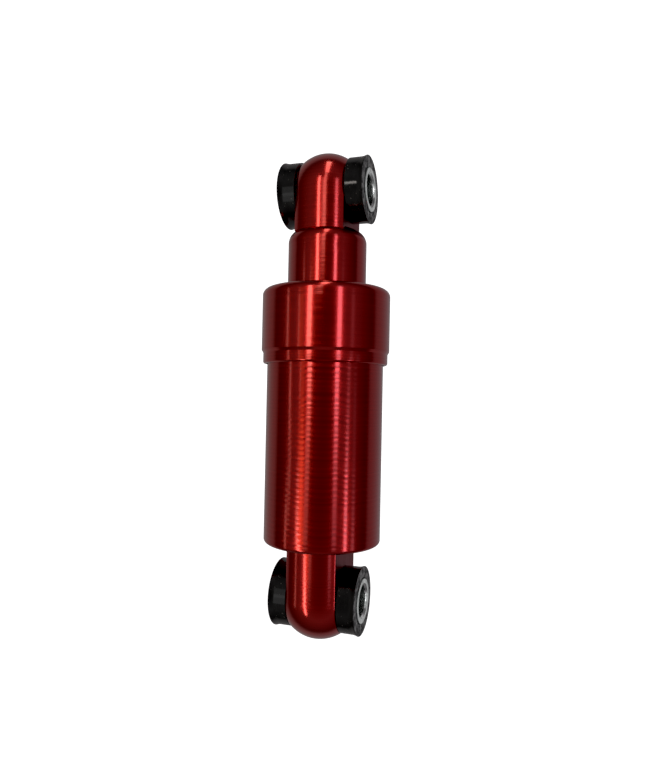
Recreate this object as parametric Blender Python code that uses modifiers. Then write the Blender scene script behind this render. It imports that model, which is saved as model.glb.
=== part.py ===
"""Small coil-spring rear shock: a red turned cylinder with a hidden spring, and an eye at each end.

The origin is the centre of the lower eye. +Z runs along the shock to the upper eye, and +X along
the bolts that hold the eyes. The shock is shown fully extended, with both eyes in line.
"""

import math

import bpy
from mathutils import Vector

MM = 0.001

# Driving dimensions of the outside
EYE_TO_EYE = 110.0 * MM
BODY_RADIUS = 15.8 * MM
BODY_BOTTOM = 14.8 * MM
CAP_RADIUS = 17.4 * MM
CAP_LIP_RADIUS = 16.95 * MM
CAP_BOTTOM = 62.8 * MM
CAP_TOP = 83.2 * MM
ROD_RADIUS = 10.7 * MM
ROD_SHOULDER = 99.3 * MM
LOWER_EYE_RADIUS = 11.0 * MM
UPPER_EYE_RADIUS = 10.4 * MM
EYE_HALF_WIDTH = 6.75 * MM
EYE_BORE_RADIUS = 7.2 * MM
BUSHING_RADIUS = 8.7 * MM
BUSHING_LIP_RADIUS = 9.0 * MM
BUSHING_HALF_SPAN = 11.8 * MM
SLEEVE_HALF_LENGTH = 12.0 * MM
SLEEVE_RADIUS = 5.75 * MM
BOLT_HOLE_RADIUS = 4.1 * MM

# Edges and clearances
BODY_FILLET = 0.95 * MM
CAP_FILLET = 1.9 * MM
LIP_FILLET = 0.6 * MM
SHOULDER_FILLET = 3.6 * MM
EDGE = 0.3 * MM
SEAT_GAP = 0.1 * MM
RING_GAP = 0.2 * MM
THREAD_GAP = 0.3 * MM

# Inside
BORE_RADIUS = 13.3 * MM
FLOOR_THICKNESS = 5.0 * MM
BODY_FLOOR = BODY_BOTTOM + FLOOR_THICKNESS
BODY_TOP = 78.0 * MM
THREAD_RADIUS = 15.5 * MM
THREAD_BOTTOM = 66.0 * MM
O_RING_SECTION = 0.65 * MM
O_RING_POCKET_RADIUS = 14.8 * MM
O_RING_POCKET_FLOOR = BODY_TOP - 1.6 * MM
GUIDE_BOSS_RADIUS = BORE_RADIUS - THREAD_GAP
GUIDE_BOSS_BOTTOM = 70.3 * MM
GUIDE_RADIUS = 11.8 * MM
WIPER_RADIUS = 12.5 * MM
WIPER_SEAT = 80.4 * MM
ROD_BOTTOM = 64.4 * MM
PISTON_RADIUS = 13.0 * MM
PISTON_TOP = 67.2 * MM
PISTON_BOTTOM = 61.0 * MM
PISTON_GROOVE_RADIUS = 12.0 * MM
PISTON_GROOVE = (62.7 * MM, 65.7 * MM)
PISTON_RING_RADIUS = 13.2 * MM
PISTON_RING_SPLIT = 0.8 * MM
UPPER_SEAT_THICKNESS = 1.2 * MM
LOWER_SEAT_THICKNESS = 1.3 * MM

# Screws, both M8 with low socket heads, and the washers under them
SCREW_RADIUS = 4.0 * MM
TAPPED_RADIUS = 4.15 * MM
CLEARANCE_RADIUS = 4.3 * MM
HEAD_RADIUS = 6.5 * MM
HEAD_HEIGHT = 4.5 * MM
SOCKET_FLATS = 5.0 * MM
SOCKET_DEPTH = 2.4 * MM
WASHER_RADIUS = 6.9 * MM
WASHER_THICKNESS = 1.1 * MM
PISTON_SCREW_TIP = 76.0 * MM
EYE_SCREW_TIP = 9.0 * MM

# Spring
WIRE_RADIUS = 1.9 * MM
SPRING_RADIUS = 10.5 * MM
SPRING_TURNS = 5.5
SPRING_BOTTOM = BODY_FLOOR + LOWER_SEAT_THICKNESS + 0.5 * MM
SPRING_TOP = PISTON_BOTTOM - UPPER_SEAT_THICKNESS - 0.4 * MM
SPRING_INNER = SPRING_RADIUS - WIRE_RADIUS

# Facets
LARGE_ROUND = 48
SMALL_ROUND = 32
ARC_STEPS = 3
DOME_STEPS = 8
SPRING_STEPS_PER_TURN = 12
MERGE = 1e-5


def clear_scene():
    for obj in list(bpy.data.objects):
        bpy.data.objects.remove(obj, do_unlink=True)


def new_collection(name):
    collection = bpy.data.collections.new(name)
    bpy.context.scene.collection.children.link(collection)
    return collection


def make_material(name, colour, roughness, metallic):
    material = bpy.data.materials.new(name)
    material.use_nodes = True
    shader = material.node_tree.nodes["Principled BSDF"]
    shader.inputs["Base Color"].default_value = (*colour, 1.0)
    shader.inputs["Roughness"].default_value = roughness
    shader.inputs["Metallic"].default_value = metallic
    material.diffuse_color = (*colour, 1.0)
    return material


def arc(centre, radius, start_deg, end_deg, steps=ARC_STEPS):
    """Points of a round stretch of a profile, both ends included."""
    points = []
    for i in range(steps + 1):
        angle = math.radians(start_deg + (end_deg - start_deg) * i / steps)
        points.append((centre[0] + radius * math.cos(angle), centre[1] + radius * math.sin(angle)))
    return points


def turned(name, profile, material, collection, steps=LARGE_ROUND):
    """A turned piece about its local Z. The profile is a list of (radius, height) that keeps the
    material on its right-hand side. It closes on itself, unless both its ends are on the axis."""
    open_ended = profile[0][0] == 0.0 and profile[-1][0] == 0.0
    edges = [(i, i + 1) for i in range(len(profile) - 1)]
    if not open_ended:
        edges.append((len(profile) - 1, 0))
    mesh = bpy.data.meshes.new(name)
    mesh.from_pydata([(r, 0.0, z) for r, z in profile], edges, [])
    obj = bpy.data.objects.new(name, mesh)
    collection.objects.link(obj)
    mesh.materials.append(material)
    screw = obj.modifiers.new("turn", "SCREW")
    screw.axis = "Z"
    screw.angle = 2 * math.pi
    screw.steps = steps
    screw.render_steps = steps
    screw.use_merge_vertices = True
    screw.merge_threshold = MERGE
    screw.use_smooth_shade = True
    return obj


def ring(name, outer, inner, bottom, top, material, collection, steps=LARGE_ROUND):
    """A plain ring or washer."""
    profile = [(outer, top), (outer, bottom), (inner, bottom), (inner, top)]
    return turned(name, profile, material, collection, steps)


def as_cutter(obj):
    obj.hide_render = True
    obj.display_type = "WIRE"
    return obj


def box_cutter(name, size, centre, collection):
    bpy.ops.mesh.primitive_cube_add(size=1.0, location=centre)
    obj = bpy.context.object
    obj.name = name
    obj.scale = size
    bpy.ops.object.transform_apply(location=False, rotation=False, scale=True)
    return move_to(obj, collection)


def round_cutter(name, radius, depth, centre, collection, vertices, along_x=False):
    turn = (0.0, math.pi / 2, 0.0) if along_x else (0.0, 0.0, 0.0)
    bpy.ops.mesh.primitive_cylinder_add(
        vertices=vertices, radius=radius, depth=depth, location=centre, rotation=turn
    )
    obj = bpy.context.object
    obj.name = name
    return move_to(obj, collection)


def move_to(obj, collection):
    for holder in list(obj.users_collection):
        holder.objects.unlink(obj)
    collection.objects.link(obj)
    return as_cutter(obj)


def boolean(obj, other, operation):
    modifier = obj.modifiers.new(operation.lower(), "BOOLEAN")
    modifier.operation = operation
    modifier.object = other


def fillet_down(radius, height, fillet):
    """The outer top edge of a turned piece, rounded, from its top face to its side."""
    return arc((radius - fillet, height - fillet), fillet, 90, 0)


def fillet_in(radius, height, fillet):
    """The outer bottom edge of a turned piece, rounded, from its side to its bottom face."""
    return arc((radius - fillet, height + fillet), fillet, 0, -90)


def make_outer_body(material, collection):
    """The cylinder: a cup with a thick floor, and a threaded neck that the end cap screws onto."""
    profile = [
        (THREAD_RADIUS, BODY_TOP),
        (THREAD_RADIUS, THREAD_BOTTOM + EDGE),
        (BODY_RADIUS, THREAD_BOTTOM),
        *fillet_in(BODY_RADIUS, BODY_BOTTOM, BODY_FILLET),
        (CLEARANCE_RADIUS, BODY_BOTTOM),
        (CLEARANCE_RADIUS, BODY_FLOOR),
        (BORE_RADIUS, BODY_FLOOR),
        (BORE_RADIUS, O_RING_POCKET_FLOOR),
        (O_RING_POCKET_RADIUS, O_RING_POCKET_FLOOR),
        (O_RING_POCKET_RADIUS, BODY_TOP),
    ]
    return turned("outer_body", profile, material, collection)


def make_end_cap(material, collection):
    """The collar at the top: a stepped skirt over the body, and a boss inside that holds the guide."""
    skirt_bore = BODY_RADIUS + THREAD_GAP
    thread_bore = THREAD_RADIUS + THREAD_GAP
    ceiling = BODY_TOP + THREAD_GAP
    guide_bore = GUIDE_RADIUS + SEAT_GAP
    pocket = WIPER_RADIUS + SEAT_GAP
    step_height = 0.8 * MM
    lip_top = CAP_BOTTOM + 2.9 * MM
    profile = [
        *fillet_down(CAP_RADIUS, CAP_TOP, CAP_FILLET),
        (CAP_RADIUS, lip_top + step_height),
        (CAP_LIP_RADIUS, lip_top),
        *fillet_in(CAP_LIP_RADIUS, CAP_BOTTOM, LIP_FILLET),
        (skirt_bore, CAP_BOTTOM),
        (skirt_bore, THREAD_BOTTOM + SEAT_GAP),
        (thread_bore, THREAD_BOTTOM + SEAT_GAP + EDGE),
        (thread_bore, ceiling),
        (GUIDE_BOSS_RADIUS, ceiling),
        (GUIDE_BOSS_RADIUS, GUIDE_BOSS_BOTTOM),
        (guide_bore, GUIDE_BOSS_BOTTOM),
        (guide_bore, WIPER_SEAT),
        (pocket, WIPER_SEAT),
        (pocket, CAP_TOP - EDGE),
        (pocket + EDGE, CAP_TOP),
    ]
    return turned("end_cap", profile, material, collection)


def make_cap_o_ring(material, collection):
    """The O-ring between the body's rim and the cap's boss."""
    centre_radius = O_RING_POCKET_RADIUS - SEAT_GAP - O_RING_SECTION
    centre_height = O_RING_POCKET_FLOOR + RING_GAP + O_RING_SECTION
    profile = arc((centre_radius, centre_height), O_RING_SECTION, 90, -270, 8)[:-1]
    return turned("cap_o_ring", profile, material, collection)


def make_wiper_seal(material, collection):
    """The wiper in the cap's mouth, with a lip that points up and rubs on the rod."""
    seat = WIPER_SEAT + RING_GAP
    back = CAP_TOP - EDGE
    lip = CAP_TOP + EDGE
    profile = [
        (WIPER_RADIUS, back),
        (WIPER_RADIUS, seat),
        (ROD_RADIUS + 0.25 * MM, seat),
        (ROD_RADIUS + 0.25 * MM, back - 0.9 * MM),
        (ROD_RADIUS + SEAT_GAP, lip),
        (ROD_RADIUS + 0.5 * MM, lip),
        (ROD_RADIUS + 0.8 * MM, back),
    ]
    return turned("wiper_seal", profile, material, collection)


def make_piston(material, collection):
    """The flange on the rod's end: it runs in the bore, carries the spring and stops the rod."""
    recess = ROD_RADIUS + 0.15 * MM
    low, high = PISTON_GROOVE
    profile = [
        (PISTON_RADIUS, PISTON_TOP),
        (PISTON_RADIUS, high),
        (PISTON_GROOVE_RADIUS, high),
        (PISTON_GROOVE_RADIUS, low),
        (PISTON_RADIUS, low),
        (PISTON_RADIUS, PISTON_BOTTOM + EDGE),
        (PISTON_RADIUS - EDGE, PISTON_BOTTOM),
        (CLEARANCE_RADIUS, PISTON_BOTTOM),
        (CLEARANCE_RADIUS, ROD_BOTTOM - RING_GAP),
        (recess, ROD_BOTTOM - RING_GAP),
        (recess, PISTON_TOP),
    ]
    return turned("piston", profile, material, collection)


def make_piston_ring(material, collection, cutters):
    """The split wear ring in the piston's groove."""
    low, high = PISTON_GROOVE
    inner = PISTON_GROOVE_RADIUS + 0.15 * MM
    obj = ring(
        "piston_ring", PISTON_RING_RADIUS, inner, low + RING_GAP, high - RING_GAP, material, collection
    )
    split = box_cutter(
        "piston_ring_split",
        (PISTON_RING_SPLIT, 4 * MM, 4 * MM),
        (0.0, PISTON_RING_RADIUS, (low + high) / 2),
        cutters,
    )
    boolean(obj, split, "DIFFERENCE")
    return obj


def make_socket_screw(name, head_face, tip, material, collection, cutters):
    """A low-head socket screw on the axis. Its head lies beyond head_face, away from its tip."""
    up = 1.0 if head_face > tip else -1.0
    end = head_face + up * HEAD_HEIGHT
    profile = [
        (0.0, end),
        (HEAD_RADIUS - EDGE, end),
        (HEAD_RADIUS, end - up * EDGE),
        (HEAD_RADIUS, head_face),
        (SCREW_RADIUS, head_face),
        (SCREW_RADIUS, tip + up * 0.4 * MM),
        (SCREW_RADIUS - 0.4 * MM, tip),
        (0.0, tip),
    ]
    if up < 0:
        profile.reverse()
    obj = turned(name, profile, material, collection, SMALL_ROUND)
    socket_centre = end - up * (SOCKET_DEPTH - 1 * MM) / 2
    socket = round_cutter(
        name + "_socket",
        SOCKET_FLATS / math.sqrt(3),
        SOCKET_DEPTH + 1 * MM,
        (0.0, 0.0, socket_centre),
        cutters,
        vertices=6,
    )
    boolean(obj, socket, "DIFFERENCE")
    return obj


def make_upper_spring_seat(material, collection):
    """The washer between spring and piston, with a collar that centres the spring's top turn."""
    top = PISTON_BOTTOM - RING_GAP
    collar = SPRING_INNER - THREAD_GAP
    collar_bottom = top - 3.9 * MM
    inner = WASHER_RADIUS + 0.6 * MM
    profile = [
        (PISTON_RADIUS - SEAT_GAP, top),
        (PISTON_RADIUS - SEAT_GAP, top - UPPER_SEAT_THICKNESS),
        (collar, top - UPPER_SEAT_THICKNESS),
        (collar, collar_bottom + EDGE),
        (collar - EDGE, collar_bottom),
        (inner, collar_bottom),
        (inner, top),
    ]
    return turned("upper_spring_seat", profile, material, collection)


def make_bottom_out_bumper(material, collection):
    """The ribbed rubber bumper inside the spring. Its skirt fits over the lower screw's head."""
    skirt_bottom = BODY_FLOOR + LOWER_SEAT_THICKNESS + 0.6 * MM
    ceiling = skirt_bottom + 4.5 * MM
    skirt = SPRING_INNER - THREAD_GAP
    rib_pitch = 4.6 * MM
    rib_count = 3
    rib_taper = 0.5 * MM
    waist_depth = 1.1 * MM
    first_rib = ceiling + 2.6 * MM
    widest_rib = 7.3 * MM
    ribs = []
    for i in range(rib_count):
        radius = widest_rib - i * rib_taper
        height = first_rib + i * rib_pitch
        ribs.append((radius - waist_depth, height - rib_pitch / 2 + 0.3 * MM))
        ribs.append((radius, height))
    top = ribs[-1][1] + 3.9 * MM
    profile = [
        (0.0, top),
        (ribs[-1][0] - 2.2 * MM, top),
        (ribs[-1][0] - 1.2 * MM, top - 0.9 * MM),
        *reversed(ribs),
        (skirt, ceiling),
        (skirt, skirt_bottom),
        (HEAD_RADIUS + THREAD_GAP, skirt_bottom),
        (HEAD_RADIUS + THREAD_GAP, ceiling),
        (0.0, ceiling),
    ]
    return turned("bottom_out_bumper", profile, material, collection, SMALL_ROUND)


def make_main_spring(material, collection):
    """The coil spring, with a closed turn at each end and the rest of the rise shared evenly."""
    low = SPRING_BOTTOM + WIRE_RADIUS
    high = SPRING_TOP - WIRE_RADIUS
    end_rise = 2 * WIRE_RADIUS + THREAD_GAP
    open_turns = SPRING_TURNS - 2
    open_pitch = (high - low - 2 * end_rise) / open_turns

    def height(turn):
        closed_below = min(turn, 1.0)
        closed_above = max(turn - 1.0 - open_turns, 0.0)
        opened = min(max(turn - 1.0, 0.0), open_turns)
        return low + (closed_below + closed_above) * end_rise + opened * open_pitch

    count = round(SPRING_TURNS * SPRING_STEPS_PER_TURN)
    curve = bpy.data.curves.new("main_spring", "CURVE")
    curve.dimensions = "3D"
    curve.bevel_depth = WIRE_RADIUS
    curve.bevel_resolution = 2
    curve.use_fill_caps = True
    wire = curve.splines.new("POLY")
    wire.points.add(count)
    for i, point in enumerate(wire.points):
        turn = i / SPRING_STEPS_PER_TURN
        angle = 2 * math.pi * turn
        point.co = (SPRING_RADIUS * math.cos(angle), SPRING_RADIUS * math.sin(angle), height(turn), 1.0)
    curve.materials.append(material)
    obj = bpy.data.objects.new("main_spring", curve)
    collection.objects.link(obj)
    return obj


def make_lower_eye(material, collection, cutters):
    """The lower eye: a domed bar with two flats the whole way, tapped for the screw from inside."""
    top = BODY_BOTTOM - SEAT_GAP
    tapped_bottom = EYE_SCREW_TIP - 0.4 * MM
    profile = [
        (0.0, tapped_bottom),
        (TAPPED_RADIUS, tapped_bottom),
        (TAPPED_RADIUS, top),
        (LOWER_EYE_RADIUS, top),
        *arc((0.0, 0.0), LOWER_EYE_RADIUS, 0, -90, DOME_STEPS)[:-1],
        (0.0, -LOWER_EYE_RADIUS),
    ]
    obj = turned("lower_eye", profile, material, collection)
    slab = box_cutter(
        "lower_eye_slab", (2 * EYE_HALF_WIDTH, 30 * MM, 60 * MM), (0.0, 0.0, 0.0), cutters
    )
    boolean(obj, slab, "INTERSECT")
    boolean(obj, eye_bore("lower_eye_bore", 0.0, cutters), "DIFFERENCE")
    return obj


def make_upper_eye(material, collection, cutters):
    """The rod and the upper eye, turned and milled from one bar, tapped for the piston's screw."""
    rod = [
        (0.0, ROD_SHOULDER),
        *fillet_down(ROD_RADIUS, ROD_SHOULDER, SHOULDER_FILLET),
        (ROD_RADIUS, ROD_BOTTOM + EDGE),
        (ROD_RADIUS - EDGE, ROD_BOTTOM),
        (TAPPED_RADIUS, ROD_BOTTOM),
        (TAPPED_RADIUS, PISTON_SCREW_TIP + 1.5 * MM),
        (0.0, PISTON_SCREW_TIP + 1.5 * MM),
    ]
    obj = turned("upper_eye", rod, material, collection)
    root = ROD_SHOULDER - 8 * MM
    domed_bar = [
        (0.0, EYE_TO_EYE + UPPER_EYE_RADIUS),
        *arc((0.0, EYE_TO_EYE), UPPER_EYE_RADIUS, 90, 0, DOME_STEPS)[1:],
        (UPPER_EYE_RADIUS, root),
        (0.0, root),
    ]
    eye = as_cutter(turned("upper_eye_bar", domed_bar, material, cutters))
    slab = box_cutter(
        "upper_eye_slab", (2 * EYE_HALF_WIDTH, 30 * MM, 80 * MM), (0.0, 0.0, EYE_TO_EYE), cutters
    )
    boolean(eye, slab, "INTERSECT")
    boolean(obj, eye, "UNION")
    boolean(obj, eye_bore("upper_eye_bore", EYE_TO_EYE, cutters), "DIFFERENCE")
    return obj


def eye_bore(name, height, cutters):
    return round_cutter(
        name, EYE_BORE_RADIUS, 40 * MM, (0.0, 0.0, height), cutters, SMALL_ROUND, along_x=True
    )


def make_bushing(name, side, height, material, collection):
    """A moulded top-hat bushing: its spigot is in the eye's bore, and its waisted flange outside."""
    inner = SLEEVE_RADIUS + SEAT_GAP
    spigot = EYE_BORE_RADIUS - SEAT_GAP
    flange = EYE_HALF_WIDTH + SEAT_GAP
    face = BUSHING_HALF_SPAN
    profile = [
        (inner, face - EDGE),
        (BUSHING_LIP_RADIUS - 0.2 * MM, face),
        (BUSHING_LIP_RADIUS, face - 0.15 * MM),
        (BUSHING_RADIUS + 0.05 * MM, face - 0.9 * MM),
        (BUSHING_RADIUS, (face + flange) / 2),
        (BUSHING_RADIUS + 0.05 * MM, flange + 0.7 * MM),
        (BUSHING_LIP_RADIUS - 0.15 * MM, flange),
        (spigot, flange),
        (spigot, RING_GAP),
        (inner, RING_GAP),
    ]
    obj = turned(name, profile, material, collection, SMALL_ROUND)
    obj.location = (0.0, 0.0, height)
    obj.rotation_euler = (0.0, side * math.pi / 2, 0.0)
    return obj


def make_sleeve(name, material, collection):
    """The steel tube through an eye that the bolt passes through."""
    end = SLEEVE_HALF_LENGTH
    chamfer = 0.5 * MM
    profile = [
        (SLEEVE_RADIUS - SEAT_GAP, end),
        (SLEEVE_RADIUS, end - SEAT_GAP),
        (SLEEVE_RADIUS, SEAT_GAP - end),
        (SLEEVE_RADIUS - SEAT_GAP, -end),
        (BOLT_HOLE_RADIUS + chamfer, -end),
        (BOLT_HOLE_RADIUS, chamfer - end),
        (BOLT_HOLE_RADIUS, end - chamfer),
        (BOLT_HOLE_RADIUS + chamfer, end),
    ]
    obj = turned(name, profile, material, collection, SMALL_ROUND)
    obj.rotation_euler = (0.0, math.pi / 2, 0.0)
    return obj


def make_group(name, location, members, collection):
    """An empty on the group's joint axis. The members keep their places and follow it."""
    empty = bpy.data.objects.new(name, None)
    empty.location = location
    collection.objects.link(empty)
    for obj in members:
        obj.parent = empty
        obj.location = obj.location - Vector(location)
    return empty


def main():
    clear_scene()
    shock = new_collection("rear_shock")
    cutters = new_collection("cutters")
    red = make_material("red_anodised", (0.36, 0.006, 0.012), 0.25, 1.0)
    black = make_material("black_nylon", (0.012, 0.012, 0.013), 0.4, 0.0)
    steel = make_material("zinc_steel", (0.62, 0.62, 0.6), 0.35, 1.0)
    spring_steel = make_material("spring_steel", (0.16, 0.16, 0.17), 0.4, 1.0)
    bare = make_material("bare_aluminium", (0.8, 0.8, 0.82), 0.3, 1.0)
    bronze = make_material("guide_bronze", (0.42, 0.27, 0.12), 0.45, 1.0)
    rubber = make_material("rubber", (0.02, 0.02, 0.02), 0.7, 0.0)
    urethane = make_material("urethane", (0.55, 0.42, 0.12), 0.5, 0.0)
    ptfe = make_material("wear_ring_plastic", (0.16, 0.08, 0.04), 0.5, 0.0)

    cylinder = [
        make_outer_body(red, shock),
        make_end_cap(red, shock),
        make_cap_o_ring(rubber, shock),
        ring(
            "guide_bush", GUIDE_RADIUS, ROD_RADIUS + SEAT_GAP,
            GUIDE_BOSS_BOTTOM + RING_GAP, WIPER_SEAT - RING_GAP, bronze, shock,
        ),
        make_wiper_seal(rubber, shock),
        make_lower_eye(red, shock, cutters),
        make_socket_screw(
            "lower_eye_screw", BODY_FLOOR + WASHER_THICKNESS + 2 * RING_GAP, EYE_SCREW_TIP,
            steel, shock, cutters,
        ),
        ring(
            "lower_eye_washer", WASHER_RADIUS, CLEARANCE_RADIUS,
            BODY_FLOOR + RING_GAP, BODY_FLOOR + RING_GAP + WASHER_THICKNESS, steel, shock, SMALL_ROUND,
        ),
        ring(
            "lower_spring_seat", GUIDE_BOSS_RADIUS, WASHER_RADIUS + 0.5 * MM,
            BODY_FLOOR + THREAD_GAP, BODY_FLOOR + THREAD_GAP + LOWER_SEAT_THICKNESS, steel, shock,
        ),
        make_bottom_out_bumper(urethane, shock),
        make_main_spring(spring_steel, shock),
        make_bushing("lower_bushing_right", 1, 0.0, black, shock),
        make_bushing("lower_bushing_left", -1, 0.0, black, shock),
    ]
    spring_seat = [make_upper_spring_seat(steel, shock)]
    rod = [
        make_upper_eye(red, shock, cutters),
        make_piston(bare, shock),
        make_piston_ring(ptfe, shock, cutters),
        make_socket_screw(
            "piston_screw", PISTON_BOTTOM - WASHER_THICKNESS - 2 * RING_GAP, PISTON_SCREW_TIP,
            steel, shock, cutters,
        ),
        ring(
            "piston_washer", WASHER_RADIUS, CLEARANCE_RADIUS,
            PISTON_BOTTOM - RING_GAP - WASHER_THICKNESS, PISTON_BOTTOM - RING_GAP, steel, shock, SMALL_ROUND,
        ),
        ring(
            "top_out_bumper", PISTON_RADIUS - RING_GAP, ROD_RADIUS + RING_GAP,
            PISTON_TOP + RING_GAP, GUIDE_BOSS_BOTTOM - THREAD_GAP, rubber, shock,
        ),
        make_bushing("upper_bushing_right", 1, EYE_TO_EYE, black, shock),
        make_bushing("upper_bushing_left", -1, EYE_TO_EYE, black, shock),
    ]
    lower_sleeve = make_sleeve("lower_sleeve", steel, shock)
    upper_sleeve = make_sleeve("upper_sleeve", steel, shock)
    upper_sleeve.location = (0.0, 0.0, EYE_TO_EYE)

    make_group("cylinder_axis", (0.0, 0.0, 0.0), cylinder, shock)
    make_group("travel_axis", (0.0, 0.0, SPRING_TOP), spring_seat, shock)
    make_group("swivel_axis", (0.0, 0.0, ROD_SHOULDER), rod, shock)
    make_group("lower_eye_axis", (0.0, 0.0, 0.0), [lower_sleeve], shock)
    make_group("upper_eye_axis", (0.0, 0.0, EYE_TO_EYE), [upper_sleeve], shock)


main()
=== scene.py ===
"""The looks of the rear shock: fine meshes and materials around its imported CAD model, and a studio."""

import math

import bmesh
import bpy
from mathutils import Matrix, Vector


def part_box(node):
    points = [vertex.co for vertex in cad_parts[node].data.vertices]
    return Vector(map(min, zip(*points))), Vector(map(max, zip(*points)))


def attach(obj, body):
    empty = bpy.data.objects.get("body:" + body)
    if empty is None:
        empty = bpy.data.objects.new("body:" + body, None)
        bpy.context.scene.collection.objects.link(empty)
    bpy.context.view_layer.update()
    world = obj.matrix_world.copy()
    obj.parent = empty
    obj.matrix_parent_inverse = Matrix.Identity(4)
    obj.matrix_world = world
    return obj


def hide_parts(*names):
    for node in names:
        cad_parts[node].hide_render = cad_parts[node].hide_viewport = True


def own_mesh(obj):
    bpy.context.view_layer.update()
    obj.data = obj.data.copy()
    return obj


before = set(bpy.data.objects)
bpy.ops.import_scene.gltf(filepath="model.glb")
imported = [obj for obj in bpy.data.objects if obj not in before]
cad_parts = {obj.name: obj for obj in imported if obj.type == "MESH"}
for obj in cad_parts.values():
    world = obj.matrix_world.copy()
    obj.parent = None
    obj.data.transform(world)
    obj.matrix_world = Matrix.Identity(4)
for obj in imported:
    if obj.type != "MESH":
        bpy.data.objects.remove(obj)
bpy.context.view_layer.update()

MM = 0.001
MICRON = 0.001 * MM

# Shape details that the CAD boxes don't give
BODY_FILLET = 0.95 * MM
CAP_FILLET = 1.9 * MM
LIP_FILLET = 0.6 * MM
LIP_HEIGHT = 2.9 * MM
LIP_INSET = 0.45 * MM
LIP_CHAMFER = 0.8 * MM
SHOULDER_FILLET = 3.6 * MM
SHOULDER = 99.3 * MM
UPPER_COLUMN_RADIUS = 10.4 * MM
NECK_TOP = 98.05 * MM
NECK_DEPTH = 0.6 * MM
EYE_BORE_RADIUS = 7.2 * MM
EYE_CORNER = 0.12 * MM
TAPPED_RADIUS = 4.15 * MM
TAPPED_TOP = 77.5 * MM
BUSHING_RADIUS = 8.7 * MM
SLEEVE_BORE = 4.1 * MM
SLEEVE_RADIUS = 5.75 * MM
WIRE_RADIUS = 1.9 * MM
SPRING_TURNS = 5.5
EYE_HALF_WIDTH = 6.75 * MM
ROD_RADIUS = 10.7 * MM
EDGE = 0.3 * MM

# Lathe rings to the metre
FINE_RINGS = 2600

# Facets
ROUND = 192
FINE_ARC = 10
DOME_STEPS = 40
SHARP_ANGLE = math.radians(24)
# A ring this small closes an end on the axis
POINT = 0.0001 * MM


# ---------------------------------------------------------------- meshes

def finish_mesh(obj, material):
    """Closed, facing out, smooth except across sharp edges."""
    mesh = obj.data
    mesh.materials.append(material)
    work = bmesh.new()
    work.from_mesh(mesh)
    bmesh.ops.remove_doubles(work, verts=work.verts, dist=1e-7)
    bmesh.ops.dissolve_degenerate(work, edges=work.edges, dist=1e-7)
    bmesh.ops.recalc_face_normals(work, faces=work.faces)
    work.to_mesh(mesh)
    work.free()
    mesh.shade_smooth()
    mesh.set_sharp_from_angle(angle=SHARP_ANGLE)
    return obj


def skin_rings(name, rings, material, closed=False):
    """A mesh through rings that all have the same number of points. It ends in a fan at each end,
    or, when closed, its last ring joins its first."""
    count = len(rings[0])
    verts = [point for ring in rings for point in ring]
    faces = []
    pairs = len(rings) if closed else len(rings) - 1
    for i in range(pairs):
        low, high = i * count, (i + 1) % len(rings) * count
        for j in range(count):
            k = (j + 1) % count
            faces.append((low + j, low + k, high + k, high + j))
    mesh = bpy.data.meshes.new(name)
    mesh.from_pydata(verts, [], faces)
    obj = bpy.data.objects.new(name, mesh)
    bpy.context.scene.collection.objects.link(obj)
    return finish_mesh(obj, material)


def lathe(name, profile, material, steps=ROUND):
    """A turned piece about its local Z, from (radius, height) points."""
    rings = []
    for radius, height in profile:
        ring = []
        for j in range(steps):
            angle = 2 * math.pi * j / steps
            ring.append((radius * math.cos(angle), radius * math.sin(angle), height))
        rings.append(ring)
    on_axis = profile[0][0] == 0.0 and profile[-1][0] == 0.0
    return skin_rings(name, rings, material, closed=not on_axis)


def arc(centre, radius, start_deg, end_deg, steps=FINE_ARC):
    """Points of a round stretch of a profile, both ends included."""
    points = []
    for i in range(steps + 1):
        angle = math.radians(start_deg + (end_deg - start_deg) * i / steps)
        points.append((centre[0] + radius * math.cos(angle), centre[1] + radius * math.sin(angle)))
    return points


def spread(start, end, pitch):
    """Numbers from start to end about a pitch apart, without the end itself."""
    count = max(1, round(abs(end - start) / pitch))
    return [start + (end - start) * i / count for i in range(count)]


def flatted_ring(radius, half_width, height, floor_radius=0.0, corner=EYE_CORNER):
    """A round section with flats at +X and -X and rounded corners. No point is nearer to the axis
    than floor_radius, which joins the section to a round shoulder."""
    flat_steps, corner_steps, arc_steps = 10, 4, 34
    quarter = []
    if radius > half_width:
        side = math.sqrt((radius - corner) ** 2 - (half_width - corner) ** 2)
        centre = Vector((half_width - corner, side))
        turn = math.atan2(side, half_width - corner)
    else:
        side, centre, turn = 0.0, Vector((radius - corner, 0.0)), 0.0
    face = min(radius, half_width)
    for i in range(flat_steps):
        quarter.append(Vector((face, side * i / flat_steps)))
    for i in range(corner_steps):
        angle = turn * i / corner_steps
        quarter.append(centre + corner * Vector((math.cos(angle), math.sin(angle))))
    for i in range(arc_steps):
        angle = turn + (math.pi / 2 - turn) * i / arc_steps
        quarter.append(radius * Vector((math.cos(angle), math.sin(angle))))
    lifted = []
    for point in quarter:
        if point.length < floor_radius:
            point = point * (floor_radius / point.length)
        lifted.append(point)
    top = Vector((0.0, max(radius, floor_radius)))
    ring = lifted + [top]
    ring += [Vector((-p.x, p.y)) for p in reversed(lifted)]
    ring += [Vector((-p.x, -p.y)) for p in lifted[1:]]
    ring += [-top]
    ring += [Vector((p.x, -p.y)) for p in reversed(lifted[1:])]
    return [(p.x, p.y, height) for p in ring]


def round_ring(radius, height, half_width, column_radius):
    """A round ring whose points lie at the angles of the eye's flatted section."""
    ring = []
    for x, y, _ in flatted_ring(column_radius, half_width, height):
        angle = math.atan2(y, x)
        ring.append((radius * math.cos(angle), radius * math.sin(angle), height))
    return ring


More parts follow.
